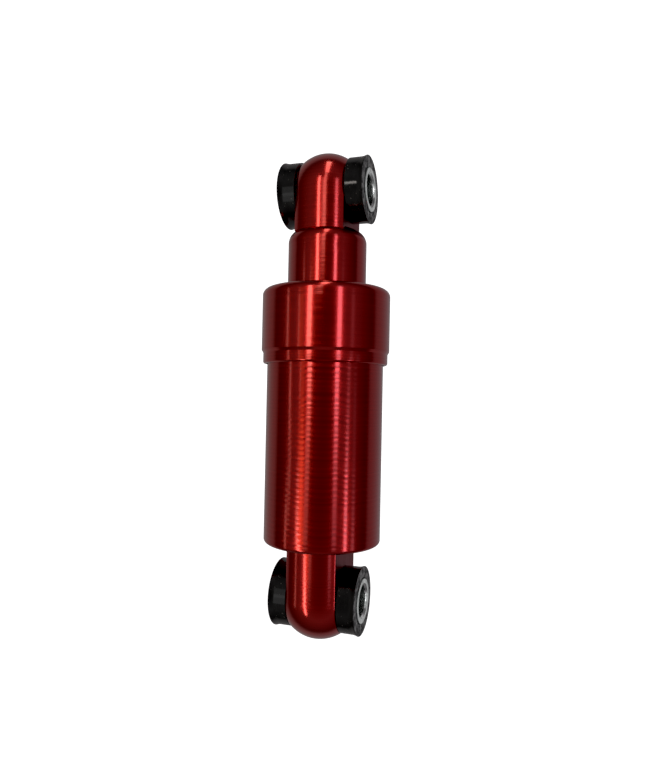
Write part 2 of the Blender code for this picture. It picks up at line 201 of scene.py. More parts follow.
def bore_across(obj, height, material):
    """Cuts the eye's bore along X and leaves a plain mesh."""
    reach = 20 * MM
    profile = [(0, reach), (EYE_BORE_RADIUS, reach), (EYE_BORE_RADIUS, -reach), (0, -reach)]
    cutter = lathe("bore_cutter", profile, material, 96)
    cutter.matrix_world = Matrix.Translation((0, 0, height)) @ Matrix.Rotation(math.pi / 2, 4, "Y")
    cut = obj.modifiers.new("bore", "BOOLEAN")
    cut.operation = "DIFFERENCE"
    cut.object = cutter
    bpy.context.view_layer.update()
    evaluated = obj.evaluated_get(bpy.context.evaluated_depsgraph_get())
    mesh = bpy.data.meshes.new_from_object(evaluated)
    obj.modifiers.clear()
    obj.data = mesh
    bpy.data.objects.remove(cutter)
    mesh.shade_smooth()
    mesh.set_sharp_from_angle(angle=SHARP_ANGLE)


def split_materials(obj, second, chosen):
    """Gives the second material to the faces that chosen() picks by their centre and normal."""
    obj.data.materials.append(second)
    for polygon in obj.data.polygons:
        if chosen(polygon.center, polygon.normal):
            polygon.material_index = 1


# ---------------------------------------------------------------- materials

class Finish:
    """A material's nodes, with short ways to add what metals and mouldings need. The scales of
    noise and lines are to the metre, in the piece's own coordinates."""

    def __init__(self, name):
        self.material = bpy.data.materials.new(name)
        self.material.use_nodes = True
        self.nodes = self.material.node_tree.nodes
        self.links = self.material.node_tree.links
        self.shader = self.nodes["Principled BSDF"]
        self.coords = self.nodes.new("ShaderNodeTexCoord").outputs["Object"]
        self.normal = None

    def put(self, **values):
        """Sets uniform values on the shader, named as its sockets are."""
        for name, value in values.items():
            title = name.replace("_", " ").title().replace("Ior", "IOR")
            self.shader.inputs[title].default_value = value

    def math(self, operation, first, second=0.0):
        node = self.nodes.new("ShaderNodeMath")
        node.operation = operation
        for socket, value in zip(node.inputs, (first, second)):
            if isinstance(value, bpy.types.NodeSocket):
                self.links.new(value, socket)
            else:
                socket.default_value = value
        return node.outputs["Value"]

    def axial(self):
        """Height along the piece's own axis."""
        split = self.nodes.new("ShaderNodeSeparateXYZ")
        self.links.new(self.coords, split.inputs["Vector"])
        return split.outputs["Z"]

    def radial(self):
        """Distance from the piece's own axis."""
        flat = self.nodes.new("ShaderNodeVectorMath")
        flat.operation = "MULTIPLY"
        flat.inputs[1].default_value = (1, 1, 0)
        self.links.new(self.coords, flat.inputs[0])
        length = self.nodes.new("ShaderNodeVectorMath")
        length.operation = "LENGTH"
        self.links.new(flat.outputs["Vector"], length.inputs[0])
        return length.outputs["Value"]

    def noise(self, scale, detail=2.0, roughness=0.5):
        """3-D noise, stretched by a scale along each axis of the piece."""
        mapping = self.nodes.new("ShaderNodeMapping")
        mapping.inputs["Scale"].default_value = scale
        self.links.new(self.coords, mapping.inputs["Vector"])
        noise = self.nodes.new("ShaderNodeTexNoise")
        noise.inputs["Scale"].default_value = 1.0
        noise.inputs["Detail"].default_value = detail
        noise.inputs["Roughness"].default_value = roughness
        self.links.new(mapping.outputs["Vector"], noise.inputs["Vector"])
        return noise.outputs["Fac"]

    def lines(self, along, frequency, detail=2.0):
        """Noise that changes with one measure only, so that it draws straight or round lines."""
        noise = self.nodes.new("ShaderNodeTexNoise")
        noise.noise_dimensions = "1D"
        noise.inputs["Scale"].default_value = frequency
        noise.inputs["Detail"].default_value = detail
        self.links.new(along, noise.inputs["W"])
        return noise.outputs["Fac"]

    def feed_marks(self, along, pitch, wander):
        """Near-regular ridges that the tool's feed leaves. Their height and pitch wander."""
        phase = self.math("MULTIPLY", along, 2 * math.pi / pitch)
        drift = self.math("MULTIPLY", self.lines(along, 0.35 / pitch), wander)
        wave = self.math("SINE", self.math("ADD", phase, drift))
        strength = self.span(self.lines(along, 0.3 / pitch), 0.35, 0.65, 0.35, 1.35)
        return self.math("MULTIPLY", wave, strength)

    def span(self, value, low, high, to_low, to_high):
        """Stretches low..high to to_low..to_high and cuts off what lies outside."""
        node = self.nodes.new("ShaderNodeMapRange")
        numbers = (("From Min", low), ("From Max", high), ("To Min", to_low), ("To Max", to_high))
        for name, number in numbers:
            node.inputs[name].default_value = number
        self.links.new(value, node.inputs["Value"])
        return node.outputs["Result"]

    def blend(self, factor, first, second):
        """A mix of two colours, each a socket or three numbers."""
        node = self.nodes.new("ShaderNodeMix")
        node.data_type = "RGBA"
        self.links.new(factor, node.inputs["Factor"])
        for socket, value in zip((node.inputs[6], node.inputs[7]), (first, second)):
            if isinstance(value, bpy.types.NodeSocket):
                self.links.new(value, socket)
            else:
                socket.default_value = (*value, 1.0)
        return node.outputs[2]

    def bump(self, height, distance):
        """Adds to the bumps already there."""
        node = self.nodes.new("ShaderNodeBump")
        node.inputs["Strength"].default_value = 1.0
        node.inputs["Distance"].default_value = distance
        self.links.new(height, node.inputs["Height"])
        if self.normal is not None:
            self.links.new(self.normal, node.inputs["Normal"])
        self.normal = node.outputs["Normal"]
        self.links.new(self.normal, self.shader.inputs["Normal"])

    def colour(self, output):
        self.links.new(output, self.shader.inputs["Base Color"])

    def rough(self, output):
        self.links.new(output, self.shader.inputs["Roughness"])

    def gloss(self, output):
        self.links.new(output, self.shader.inputs["Specular IOR Level"])

    def coated(self):
        """Lets the clear coat follow the bumps too."""
        self.links.new(self.normal, self.shader.inputs["Coat Normal"])
        return self.material


def red_anodised(name, pitch, ridge, ripple=0.0):
    """Turned aluminium under a clear, deep red oxide. Fine rings from the lathe cover it, and the
    feed leaves ridges of the given pitch and depth. ripple is how much those ridges vary the gloss."""
    f = Finish(name)
    f.put(metallic=1.0, coat_weight=1.0, coat_roughness=0.1, coat_ior=1.47)
    z = f.axial()
    fine = f.lines(z, FINE_RINGS)
    blotch = f.noise((90, 90, 60), detail=3.0)
    tint = f.blend(f.span(fine, 0.3, 0.7, 0, 1), (0.46, 0.011, 0.01), (0.53, 0.018, 0.015))
    f.colour(f.blend(f.span(blotch, 0.35, 0.75, 0, 0.3), tint, (0.41, 0.009, 0.011)))
    rings = f.feed_marks(z, pitch, 5.0)
    patchy = f.span(f.noise((60, 60, 700)), 0.3, 0.7, 0.16, 0.22)
    f.rough(f.math("ADD", patchy, f.math("MULTIPLY", rings, ripple)))
    f.bump(rings, ridge)
    f.bump(fine, 9 * MICRON)
    f.bump(f.noise((350, 350, 500), detail=3.0), 0.6 * MICRON)
    return f.coated()


def cut_flat_red_shaded(name):
    """The flats cut by the mill: the same oxide over fine, straight cutter marks, in a darker red that
    is painted shade.
    """
    f = Finish(name)
    f.put(metallic=1.0, coat_weight=0.1, coat_roughness=0.3, coat_ior=1.4)
    marks = f.noise((30, 2600, 60), detail=3.0, roughness=0.6)
    dust = f.noise((500, 500, 500), detail=4.0)
    # This red is darker than the turned parts' red, and the difference is painted shade. The dust noise
    # varies it at random.
    f.colour(f.blend(f.span(dust, 0.35, 0.8, 0, 1), (0.2, 0.005, 0.011), (0.25, 0.018, 0.028)))
    f.rough(f.span(marks, 0.3, 0.7, 0.3, 0.42))
    f.bump(marks, 8 * MICRON)
    return f.coated()


def black_nylon(name):
    """Moulded black nylon with a glossy skin, pale scuffs and a few specks."""
    f = Finish(name)
    scuff = f.noise((500, 500, 900), detail=6.0, roughness=0.7)
    speck = f.noise((850, 850, 850), detail=2.0)
    f.put(specular_ior_level=0.7)
    skin = f.blend(f.span(scuff, 0.5, 0.75, 0, 1), (0.01, 0.0115, 0.013), (0.034, 0.037, 0.035))
    f.colour(f.blend(f.span(speck, 0.69, 0.75, 0, 1), skin, (0.42, 0.4, 0.35)))
    f.rough(f.span(scuff, 0.4, 0.75, 0.1, 0.2))
    f.bump(f.lines(f.axial(), FINE_RINGS), 10 * MICRON)
    f.bump(f.noise((1400, 1400, 1400)), 2.5 * MICRON)
    return f.material


def nylon_face(name):
    """The bushing's end face, which is cut back on a lathe, so it is greyer and has round lines."""
    f = Finish(name)
    cloud = f.noise((560, 560, 560), detail=5.0, roughness=0.65)
    lines = f.lines(f.radial(), 2200)
    f.gloss(f.span(cloud, 0.41, 0.58, 0.3, 0.9))
    grey = f.blend(f.span(cloud, 0.43, 0.6, 0, 1), (0.02, 0.024, 0.023), (0.29, 0.32, 0.305))
    f.colour(f.blend(f.span(lines, 0.45, 0.7, 0, 0.6), grey, (0.2, 0.22, 0.21)))
    f.rough(f.span(cloud, 0.41, 0.58, 0.6, 0.4))
    f.bump(lines, 50 * MICRON)
    f.bump(cloud, 120 * MICRON)
    return f.material


def zinc_steel(name, light=(0.88, 0.94, 0.91), dark=(0.6, 0.65, 0.63), rough=0.36):
    """Zinc-plated steel with round lines from the lathe."""
    f = Finish(name)
    f.put(metallic=1.0)
    spots = f.noise((420, 420, 420), detail=5.0, roughness=0.65)
    f.colour(f.blend(f.span(spots, 0.4, 0.75, 0, 1), light, dark))
    f.rough(f.span(spots, 0.3, 0.7, rough - 0.06, rough + 0.1))
    f.bump(f.lines(f.radial(), FINE_RINGS), 24 * MICRON)
    f.bump(f.lines(f.axial(), 1800), 16 * MICRON)
    f.bump(spots, 15 * MICRON)
    return f.material


def zinc_bore(name):
    """The bore, left rough from the drill: torn rings with bright edges."""
    f = Finish(name)
    f.put(metallic=1.0)
    torn = f.noise((420, 420, 520), detail=3.0, roughness=0.6)
    f.colour(f.blend(f.span(torn, 0.35, 0.7, 0, 1), (0.9, 0.93, 0.92), (0.3, 0.34, 0.32)))
    f.rough(f.span(torn, 0.3, 0.7, 0.12, 0.4))
    f.bump(f.lines(f.axial(), 1100), 80 * MICRON)
    f.bump(torn, 220 * MICRON)
    return f.material


def rubber(name, colour, rough):
    """Rubber, urethane or bearing plastic, with a fine dull grain."""
    f = Finish(name)
    grain = f.noise((1800, 1800, 1800), detail=3.0)
    lighter = tuple(min(1.0, c * 1.5 + 0.01) for c in colour)
    f.colour(f.blend(f.span(grain, 0.4, 0.75, 0, 1), colour, lighter))
    f.rough(f.span(grain, 0.3, 0.7, rough - 0.08, rough + 0.08))
    f.bump(grain, 15 * MICRON)
    return f.material


# ---------------------------------------------------------------- pieces

def place(obj, body, slot, *nodes):
    """Hands a piece over: the body it rides on and the CAD nodes it stands for. slot is not used."""
    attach(obj, body)
    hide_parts(*nodes)
    return obj


def rounded_edge(radius, height, size, up):
    """A rounded outer edge of a turned profile. up is 1 for a top edge and -1 for a bottom one."""
    start_deg = 90 if up > 0 else 0
    return arc((radius - size, height - up * size), size, start_deg, start_deg - 90)


def make_body(material):
    """The cylinder: a cup with a hole in its floor, and above it the neck that the cap screws on."""
    low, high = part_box("outer_body")
    radius = (high.x - low.x) / 2
    neck, neck_bottom, bore = 15.5 * MM, 66.0 * MM, 13.3 * MM
    floor, floor_hole = low.z + 5 * MM, 4.3 * MM
    pocket_radius, pocket_floor = 14.8 * MM, high.z - 1.6 * MM
    profile = [
        (neck, high.z),
        (neck, neck_bottom + EDGE),
        (radius, neck_bottom),
        *[(radius, z) for z in spread(neck_bottom, low.z + BODY_FILLET, 3 * MM)[1:]],
        *rounded_edge(radius, low.z, BODY_FILLET, -1),
        (floor_hole, low.z),
        (floor_hole, floor),
        (bore, floor),
        (bore, pocket_floor),
        (pocket_radius, pocket_floor),
        (pocket_radius, high.z),
    ]
    return place(lathe("body_shell", profile, material), "cylinder", "red_anodised", "outer_body")


def make_cap(material):
    """The cap, from its outer wall and narrow lip round through its thread and guide to its mouth."""
    low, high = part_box("end_cap")
    radius = (high.x - low.x) / 2
    lip = radius - LIP_INSET
    lip_top = low.z + LIP_HEIGHT
    body_low, body_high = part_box("outer_body")
    skirt = (body_high.x - body_low.x) / 2 + EDGE
    thread, thread_bottom, thread_top = 15.8 * MM, 66.4 * MM, 78.3 * MM
    boss, boss_bottom, guide = 13.0 * MM, 70.3 * MM, 11.9 * MM
    seat, pocket = 80.4 * MM, 12.6 * MM
    profile = [
        *rounded_edge(radius, high.z, CAP_FILLET, 1),
        *[(radius, z) for z in spread(high.z - CAP_FILLET, lip_top + LIP_CHAMFER, 3 * MM)[1:]],
        (radius, lip_top + LIP_CHAMFER),
        (lip, lip_top),
        *rounded_edge(lip, low.z, LIP_FILLET, -1),
        (skirt, low.z),
        (skirt, thread_bottom - EDGE),
        (thread, thread_bottom),
        (thread, thread_top),
        (boss, thread_top),
        (boss, boss_bottom),
        (guide, boss_bottom),
        (guide, seat),
        (pocket, seat),
        (pocket, high.z - EDGE),
        (pocket + EDGE, high.z),
    ]
    return place(lathe("cap_shell", profile, material), "cylinder", "red_anodised", "end_cap")


def make_wiper(material):
    """The rubber ring in the cap's mouth. Its lip stands up round the rod and its back lies lower."""
    low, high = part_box("wiper_seal")
    inner, outer = ROD_RADIUS + 0.25 * MM, (high.x - low.x) / 2
    back = high.z - 0.6 * MM
    tip, root, shoulder = 0.2 * MM, 0.3 * MM, 0.25 * MM
    profile = [
        *arc((ROD_RADIUS + 0.3 * MM, high.z - tip), tip, 180, 0, 6),
        (ROD_RADIUS + 0.75 * MM, back + 0.05 * MM),
        *arc((ROD_RADIUS + 1.05 * MM, back + 0.1 * MM), root, 190, 270, 5),
        *arc((outer - shoulder, back - shoulder), shoulder, 90, 0, 5),
        (outer, low.z),
        (inner, low.z),
        (inner, back - 0.9 * MM),
    ]
    return place(lathe("wiper_lip", profile, material), "cylinder", "seal_rubber", "wiper_seal")


def on_flat(centre, normal, half_width):
    """Whether a face belongs to one of an eye's two milled flats."""
    return abs(normal.x) > 0.98 and abs(abs(centre.x) - half_width) < 0.01 * MM


def make_lower_eye(material, cut_flat_shaded):
    """A bar with two flats and a domed foot, bored across, with a tapped hole in its top."""
    low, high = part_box("lower_eye")
    radius = (high.y - low.y) / 2
    half_width = (high.x - low.x) / 2
    dome = arc((0.0, 0.0), radius, -90, 0, DOME_STEPS)[1:]
    tapped_bottom = 8.6 * MM
    rings = [flatted_ring(POINT, half_width, low.z)]
    rings += [flatted_ring(r, half_width, z) for r, z in dome]
    rings += [flatted_ring(radius, half_width, z) for z in spread(0.0, high.z, 1 * MM)[1:]]
    rings.append(flatted_ring(radius, half_width, high.z))
    rings.append(round_ring(TAPPED_RADIUS, high.z, half_width, radius))
    rings.append(round_ring(TAPPED_RADIUS, tapped_bottom, half_width, radius))
    rings.append(round_ring(POINT, tapped_bottom, half_width, radius))
    obj = skin_rings("lower_eye_body", rings, material)
    bore_across(obj, 0.0, material)
    split_materials(obj, cut_flat_shaded, lambda centre, normal: on_flat(centre, normal, half_width))
    return place(obj, "cylinder", "red_anodised", "lower_eye")


def make_upper_eye(material, cut_flat_shaded):
    """The rod, a rounded shoulder, and above it a bar with two flats and a domed end, bored across.
    Its rings run from the tapped hole round the rod's foot to the top of the dome."""
    low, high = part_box("upper_eye")
    rod = (high.x - low.x) / 2
    column = UPPER_COLUMN_RADIUS
    bolt_height = high.z - column
    fillet_start = SHOULDER - SHOULDER_FILLET

    def full(radius, z):
        return round_ring(radius, z, EYE_HALF_WIDTH, column)

    def necked(z):
        """The column's radius, undercut where it meets the shoulder."""
        return column - NECK_DEPTH if z < NECK_TOP else column

    rings = [
        full(POINT, TAPPED_TOP),
        full(TAPPED_RADIUS, TAPPED_TOP),
        full(TAPPED_RADIUS, low.z),
        full(rod - EDGE, low.z),
        full(rod, low.z + EDGE),
    ]
    rings += [full(rod, z) for z in spread(low.z + EDGE, fillet_start, 2 * MM)[1:]]
    for shoulder, z in arc((rod - SHOULDER_FILLET, fillet_start), SHOULDER_FILLET, 0, 90, DOME_STEPS):
        rings.append(flatted_ring(necked(z), EYE_HALF_WIDTH, z, floor_radius=shoulder))
    rings += [flatted_ring(column, EYE_HALF_WIDTH, z) for z in spread(SHOULDER, bolt_height, 1 * MM)]
    for radius, z in arc((0.0, bolt_height), column, 0, 90, DOME_STEPS)[:-1]:
        rings.append(flatted_ring(radius, EYE_HALF_WIDTH, z))
    rings.append(flatted_ring(POINT, EYE_HALF_WIDTH, high.z))
    obj = skin_rings("upper_eye_body", rings, material)
    bore_across(obj, bolt_height, material)

    def cut_by_mill(centre, normal):
        flat = on_flat(centre, normal, EYE_HALF_WIDTH) and centre.z > fillet_start
        beside_flat = abs(centre.x) > EYE_HALF_WIDTH and centre.z < SHOULDER + 0.01 * MM
        ledge = normal.z > 0.3 and beside_flat
        return flat or ledge

    # The flats and the ledges beside them take the darker red, which is painted shade.
    split_materials(obj, cut_flat_shaded, cut_by_mill)
    return place(obj, "rod", "red_anodised", "upper_eye")


def make_bushing(node, side, height, body, material, face_material):
    """A top-hat bushing: a spigot in the eye, and a thick flange that flares to a lip at its face."""
    low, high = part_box(node)
    face = max(abs(low.x), abs(high.x))
    lip = (high.y - low.y) / 2
    flange, spigot, inner = 6.85 * MM, 7.1 * MM, 5.85 * MM
    spigot_end = 0.2 * MM
    flare_start, flare_length = face - 1.7 * MM, 1.5 * MM
    rim, foot = 0.18 * MM, 0.15 * MM

    def wall_radius(z):
        """The flange's radius, which widens towards the lip."""
        flare = max(0.0, (z - flare_start) / flare_length) ** 2
        return BUSHING_RADIUS + (lip - BUSHING_RADIUS) * flare

    wall = spread(face - 0.25 * MM, flange + 0.25 * MM, 0.35 * MM)
    profile = [
        (inner + EDGE, face - 0.06 * MM),
        (lip - rim - 0.5 * MM, face - 0.02 * MM),
        *arc((lip - rim, face - rim), rim, 88, 10, 6),
        *[(wall_radius(z), z) for z in wall],
        *arc((BUSHING_RADIUS - foot, flange + foot), foot, 20, -90, 6),
        (spigot, flange),
        (spigot, spigot_end),
        (inner, spigot_end),
        (inner, face - EDGE),
    ]
    obj = lathe(node + "_moulding", profile, material, 128)

    def on_face(centre, normal):
        return normal.z > 0.5 and centre.z > face - 0.2 * MM

    split_materials(obj, face_material, on_face)
    obj.matrix_world = Matrix.Translation((0, 0, height)) @ Matrix.Rotation(side * math.pi / 2, 4, "Y")
    return place(obj, body, "black_nylon", node)


def make_sleeve(node, height, body, material, bore_material):
    """A steel tube for the bolt, with a chamfer at each end of its bore."""
    low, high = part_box(node)
    end = (high.x - low.x) / 2
    chamfer, outer_edge, inner_edge = 0.5 * MM, 0.05 * MM, 0.03 * MM
    mouth = SLEEVE_BORE + chamfer
    profile = [
        (SLEEVE_RADIUS - outer_edge, end),
        (SLEEVE_RADIUS, end - outer_edge),
        (SLEEVE_RADIUS, outer_edge - end),
        (SLEEVE_RADIUS - outer_edge, -end),
        (mouth + 0.04 * MM, -end),
        (mouth, inner_edge - end),
        (SLEEVE_BORE, chamfer - end),
        *[(SLEEVE_BORE, z) for z in spread(chamfer - end, end - chamfer, 2 * MM)[1:]],
        (SLEEVE_BORE, end - chamfer),
        (mouth, end - inner_edge),
        (mouth + 0.04 * MM, end),
    ]
    obj = lathe(node + "_tube", profile, material, 96)

    def in_bore(centre, normal):
        return math.hypot(centre.x, centre.y) < mouth - 0.01 * MM

    split_materials(obj, bore_material, in_bore)
    obj.matrix_world = Matrix.Translation((0, 0, height)) @ Matrix.Rotation(math.pi / 2, 4, "Y")
    return place(obj, body, "zinc_steel", node)


def make_spring(material):
    """The spring, which on the real shock shortens as the rod goes in; here it is built at one length.
    Its first and last turns lie closed.
    """
    low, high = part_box("main_spring")
    radius = (high.y - low.y) / 2 - WIRE_RADIUS
    bottom, top = low.z + WIRE_RADIUS, high.z - WIRE_RADIUS
    end_rise = 2 * WIRE_RADIUS + 0.3 * MM
    open_turns = SPRING_TURNS - 2
    open_pitch = (top - bottom - 2 * end_rise) / open_turns
    per_turn, sides = 48, 20
    rings = []
    for i in range(round(SPRING_TURNS * per_turn) + 1):
        turn = i / per_turn
        closed = min(turn, 1.0) + max(turn - 1.0 - open_turns, 0.0)
        opened = min(max(turn - 1.0, 0.0), open_turns)
        z = bottom + closed * end_rise + opened * open_pitch
        angle = 2 * math.pi * turn
        out = Vector((math.cos(angle), math.sin(angle), 0.0))
        centre = out * radius + Vector((0, 0, z))
        ring = []
        for j in range(sides):
            a = 2 * math.pi * j / sides
            upward = Vector((0, 0, WIRE_RADIUS * math.sin(a)))
            ring.append(centre + out * (WIRE_RADIUS * math.cos(a)) + upward)
        rings.append(ring)
    middle_first = sum(rings[0], Vector()) / sides
    middle_last = sum(rings[-1], Vector()) / sides
    rings.insert(0, [middle_first] * sides)
    rings.append([middle_last] * sides)
    obj = skin_rings("coil_spring", rings, material)
    place(obj, "cylinder", "spring_steel", "main_spring")
    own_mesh(obj)


# ---------------------------------------------------------------- studio

CAMERA_AZIMUTH = math.radians(18.6)
CAMERA_DISTANCE = 168.6 * MM
CAMERA_HEIGHT = 56.8 * MM
OBJECT_MIDDLE = 55.0 * MM
SIDE_SHIFT = 0.57 * MM
LEAN = math.radians(1.18)
TIP_BACK = math.radians(0.85)
LENS = 28.65
BLACK_POINT = 0.0075
GRADE_STEP = 0.6
GROUND_TURN = math.radians(4)


def studio_turn():
    return Matrix.Rotation(CAMERA_AZIMUTH, 4, "Z")


def make_camera():
    """A close camera, a little above the body's middle and tipped by about a degree."""
    data = bpy.data.cameras.new("camera")
    data.lens = LENS
    data.sensor_width = 36.0
    data.clip_start = 0.01
    data.clip_end = 50.0
    camera = bpy.data.objects.new("camera", data)
    bpy.context.scene.collection.objects.link(camera)
    leaning = Matrix.Rotation(LEAN, 4, "Y") @ Matrix.Rotation(-TIP_BACK, 4, "X")
    camera.matrix_world = (
        studio_turn()
        @ Matrix.Translation((0, 0, OBJECT_MIDDLE))
        @ leaning.inverted()
        @ Matrix.Translation((-SIDE_SHIFT, -CAMERA_DISTANCE, CAMERA_HEIGHT - OBJECT_MIDDLE))
        @ Matrix.Rotation(math.pi / 2, 4, "X")
    )
    bpy.context.scene.camera = camera


def strip_light(name, start, end, width_deg, radiance, colour=(1, 1, 1)):
    """A long softbox between two points, given as degrees to the right of the camera, distance
    from the object's axis and height. It faces the object."""
    ends = []
    for azimuth_deg, reach, height in (start, end):
        azimuth = math.radians(azimuth_deg)
        ends.append(Vector((math.sin(azimuth) * reach, -math.cos(azimuth) * reach, height)))
    middle = (ends[0] + ends[1]) / 2
    along = ends[1] - ends[0]
    away = middle - Vector((0, 0, OBJECT_MIDDLE))
    width = math.radians(width_deg) * away.length
    data = bpy.data.lights.new(name, "AREA")
    data.shape = "RECTANGLE"
    data.size = width
    data.size_y = along.length
    data.energy = radiance * math.pi * width * along.length
    data.color = colour
    light = bpy.data.objects.new(name, data)
    bpy.context.scene.collection.objects.link(light)
    upward = along.normalized()
    backward = (away - upward * away.dot(upward)).normalized()
    sideways = upward.cross(backward)
    turned = Matrix((sideways, upward, backward)).transposed().to_4x4()
    light.matrix_world = studio_turn() @ Matrix.Translation(middle) @ turned
    light.visible_camera = False
    return light


def only_on(light, pieces):
    """Keeps a light to some pieces, as a flag beside the object would."""
    group = bpy.data.collections.new(light.name + "_pieces")
    for piece in pieces:
        group.objects.link(piece)
    light.light_linking.receiver_collection = group


def fading_strip(name, stops, width_deg, colour):
    """A tall strip through (azimuth, height, radiance) stops, cut into pieces where it fades."""
    lights = []
    for (turn_0, z_0, glow_0), (turn_1, z_1, glow_1) in zip(stops, stops[1:]):
        pieces = max(1, math.ceil(abs(glow_1 - glow_0) / GRADE_STEP))
        for i in range(pieces):
            a, b = i / pieces, (i + 1) / pieces
            low = (turn_0 + (turn_1 - turn_0) * a, 1, z_0 + (z_1 - z_0) * a)
            high = (turn_0 + (turn_1 - turn_0) * b, 1, z_0 + (z_1 - z_0) * b)
            glow = glow_0 + (glow_1 - glow_0) * (a + b) / 2
            lights.append(strip_light(name, low, high, width_deg, glow, colour))
    return lights


def make_lights(reds, bushings, sleeves):
    """Soft strips, each kept to some pieces. A fading strip has its width in degrees, its colour and
    its stops: degrees to the right of the camera, metres above the lower eye, and radiance."""
    warm, cool = (0.97, 1.04, 0.84), (0.98, 0.94, 1.1)
    orange, peach = (1.0, 0.52, 0.22), (1.0, 0.92, 0.86)
    strips = {
        # the two tall window strips, which fade towards the ground
        "left_strip": (7.6, warm, (
            (-32, -0.3, 0.3), (-31.5, -0.18, 0.5), (-31, -0.095, 0.6), (-30.3, 0.025, 1.15),
            (-29.5, 0.11, 3.1), (-29.3, 0.2, 4.2), (-28.3, 0.36, 4.4))),
        "left_strip_high": (6.5, warm, ((-30, 0.36, 3.9), (-28.5, 0.75, 3.6))),
        "right_strip": (7.0, cool, (
            (23.5, -0.3, 0.45), (23, -0.18, 0.6), (22.8, -0.095, 0.7), (22.8, 0.025, 1.9),
            (22.8, 0.11, 3.1), (23.3, 0.38, 3.2))),
        "right_strip_high": (7.0, cool, ((22.8, 0.38, 1.5), (24, 0.62, 1.4))),
        # low strips, which reach the cylinder's lower half
        "low_left": (9.0, orange, (
            (-40, -0.27, 0.85), (-40, -0.16, 1.3), (-43, -0.08, 1.5), (-45, 0.0, 0.5),
            (-44, 0.3, 0.25))),
        "low_left_foot": (5.5, warm, (
            (-43, -0.75, 5.0), (-43.5, -0.33, 4.6), (-49, -0.24, 2.8), (-49, -0.1, 0.4))),
        "low_right": (5.5, cool, (
            (46, -0.4, 2.9), (45, -0.2, 2.8), (45, -0.12, 1.9), (45.5, -0.05, 0.8), (46.5, 0.05, 0.3),
            (47, 0.3, 0.05))),
        "far_right": (6.0, cool, ((62, -0.4, 0.7), (61, -0.2, 0.5), (61, -0.12, 0.15), (60, 0.1, 0.05))),
        "far_left": (2.6, warm, (
            (-75, -0.4, 1.2), (-75, -0.16, 0.9), (-66, -0.12, 0.6), (-66, -0.05, 0.6), (-70, 0.0, 1.2),
            (-70, 0.3, 1.2))),
        "left_thread": (1.5, warm, ((-48, 0.05, 1.1), (-48, 0.28, 1.1))),
        # a ceiling strip that runs in over the object
        "front_low": (7.5, warm, ((-11, 0.3, 0.5), (-11, 0.34, 0.9))),
        "front_high": (7.0, warm, ((-12, 0.34, 1.7), (-9, 1.0, 1.7))),
        "front_fill": (7.0, warm, ((-17.5, 0.285, 0.4), (-17.5, 0.34, 0.6), (-17.5, 0.6, 0.7))),
    }
    for name, (width, colour, stops) in strips.items():
        for light in fading_strip(name, stops, width, colour):
            only_on(light, reds)
    only_on(strip_light("ceiling", (-7, 0.9, 1), (2, 0.12, 1.25), 9.0, 2.8, warm), reds)
    # what the bushings and the sleeves' ends see
    upper_right = [piece for piece in bushings if piece.name.startswith("upper_bushing_right")]
    only_on(strip_light("nylon_line", (-34, 1, 0.24), (-34, 1, 0.37), 13.0, 3.4, peach), upper_right)
    fill = ((-42, -0.5, 0.05), (-42, -0.12, 0.55), (-42, 0.05, 0.4), (-42, 0.4, 0.05))
    for light in fading_strip("nylon_fill", fill, 15.0, (1, 1, 1)):
        only_on(light, [piece for piece in bushings if "left" in piece.name])
    only_on(strip_light("rear_right", (143, 1, -0.55), (143, 1, 0.6), 26.0, 0.28), bushings + sleeves)
    only_on(strip_light("bore_glint", (54, 1, -0.35), (50, 1, 0.4), 5.0, 2.6), sleeves)
    only_on(strip_light("bore_fill", (62, 1, -0.6), (62, 1, 0.6), 34.0, 0.4), sleeves)


def towards(tree, direction):
    """A socket with the cosine between where a ray looks and a direction that turns with the camera."""
    coords = tree.nodes.new("ShaderNodeTexCoord")
    dot = tree.nodes.new("ShaderNodeVectorMath")
    dot.operation = "DOT_PRODUCT"
    dot.inputs[1].default_value = Matrix.Rotation(CAMERA_AZIMUTH, 3, "Z") @ direction
    tree.links.new(coords.outputs["Generated"], dot.inputs[0])
    return dot.outputs["Value"]


def to_fraction(tree, value, low, high):
    """A socket with 0 at the low value and 1 at the high one."""
    span = tree.nodes.new("ShaderNodeMapRange")
    span.inputs["From Min"].default_value = low
    span.inputs["From Max"].default_value = high
    tree.links.new(value, span.inputs["Value"])
    return span.outputs["Result"]


def make_world():
    """A dark studio with a pale ground behind the object. It lights the metal, and the backdrop
    hides it from the camera."""
    world = bpy.data.worlds.new("studio")
    bpy.context.scene.world = world
    world.use_nodes = True
    tree = world.node_tree

    # how bright it is, by the cosine between a direction and the front
    stops = [(-1.0, 0.22), (-0.26, 0.22), (-0.1, 0.085), (0.0, 0.085), (0.35, 0.16), (0.62, 0.22),
             (0.9, 0.17), (1.0, 0.105)]
    front = Matrix.Rotation(-GROUND_TURN, 3, "Z") @ Vector((0, -1, 0))
    ramp = tree.nodes.new("ShaderNodeValToRGB")
    elements = ramp.color_ramp.elements
    while len(elements) < len(stops):
        elements.new(0.5)
    for element, (cosine, level) in zip(elements, stops):
        element.position = (cosine + 1) / 2
        element.color = (level, level, level, 1.0)
    tree.links.new(to_fraction(tree, towards(tree, front), -1.0, 1.0), ramp.inputs["Fac"])

    # it is a little cooler to the right
    rightward = to_fraction(tree, towards(tree, Vector((1, 0, 0))), -0.6, 0.6)
    tint = tree.nodes.new("ShaderNodeMix")
    tint.data_type = "RGBA"
    tint.inputs[6].default_value = (1.03, 0.98, 0.95, 1.0)
    tint.inputs[7].default_value = (1.02, 0.93, 0.98, 1.0)
    tree.links.new(rightward, tint.inputs["Factor"])
    tinted = tree.nodes.new("ShaderNodeVectorMath")
    tinted.operation = "MULTIPLY"
    tree.links.new(ramp.outputs["Color"], tinted.inputs[0])
    tree.links.new(tint.outputs[2], tinted.inputs[1])
    tree.links.new(tinted.outputs["Vector"], tree.nodes["Background"].inputs["Color"])


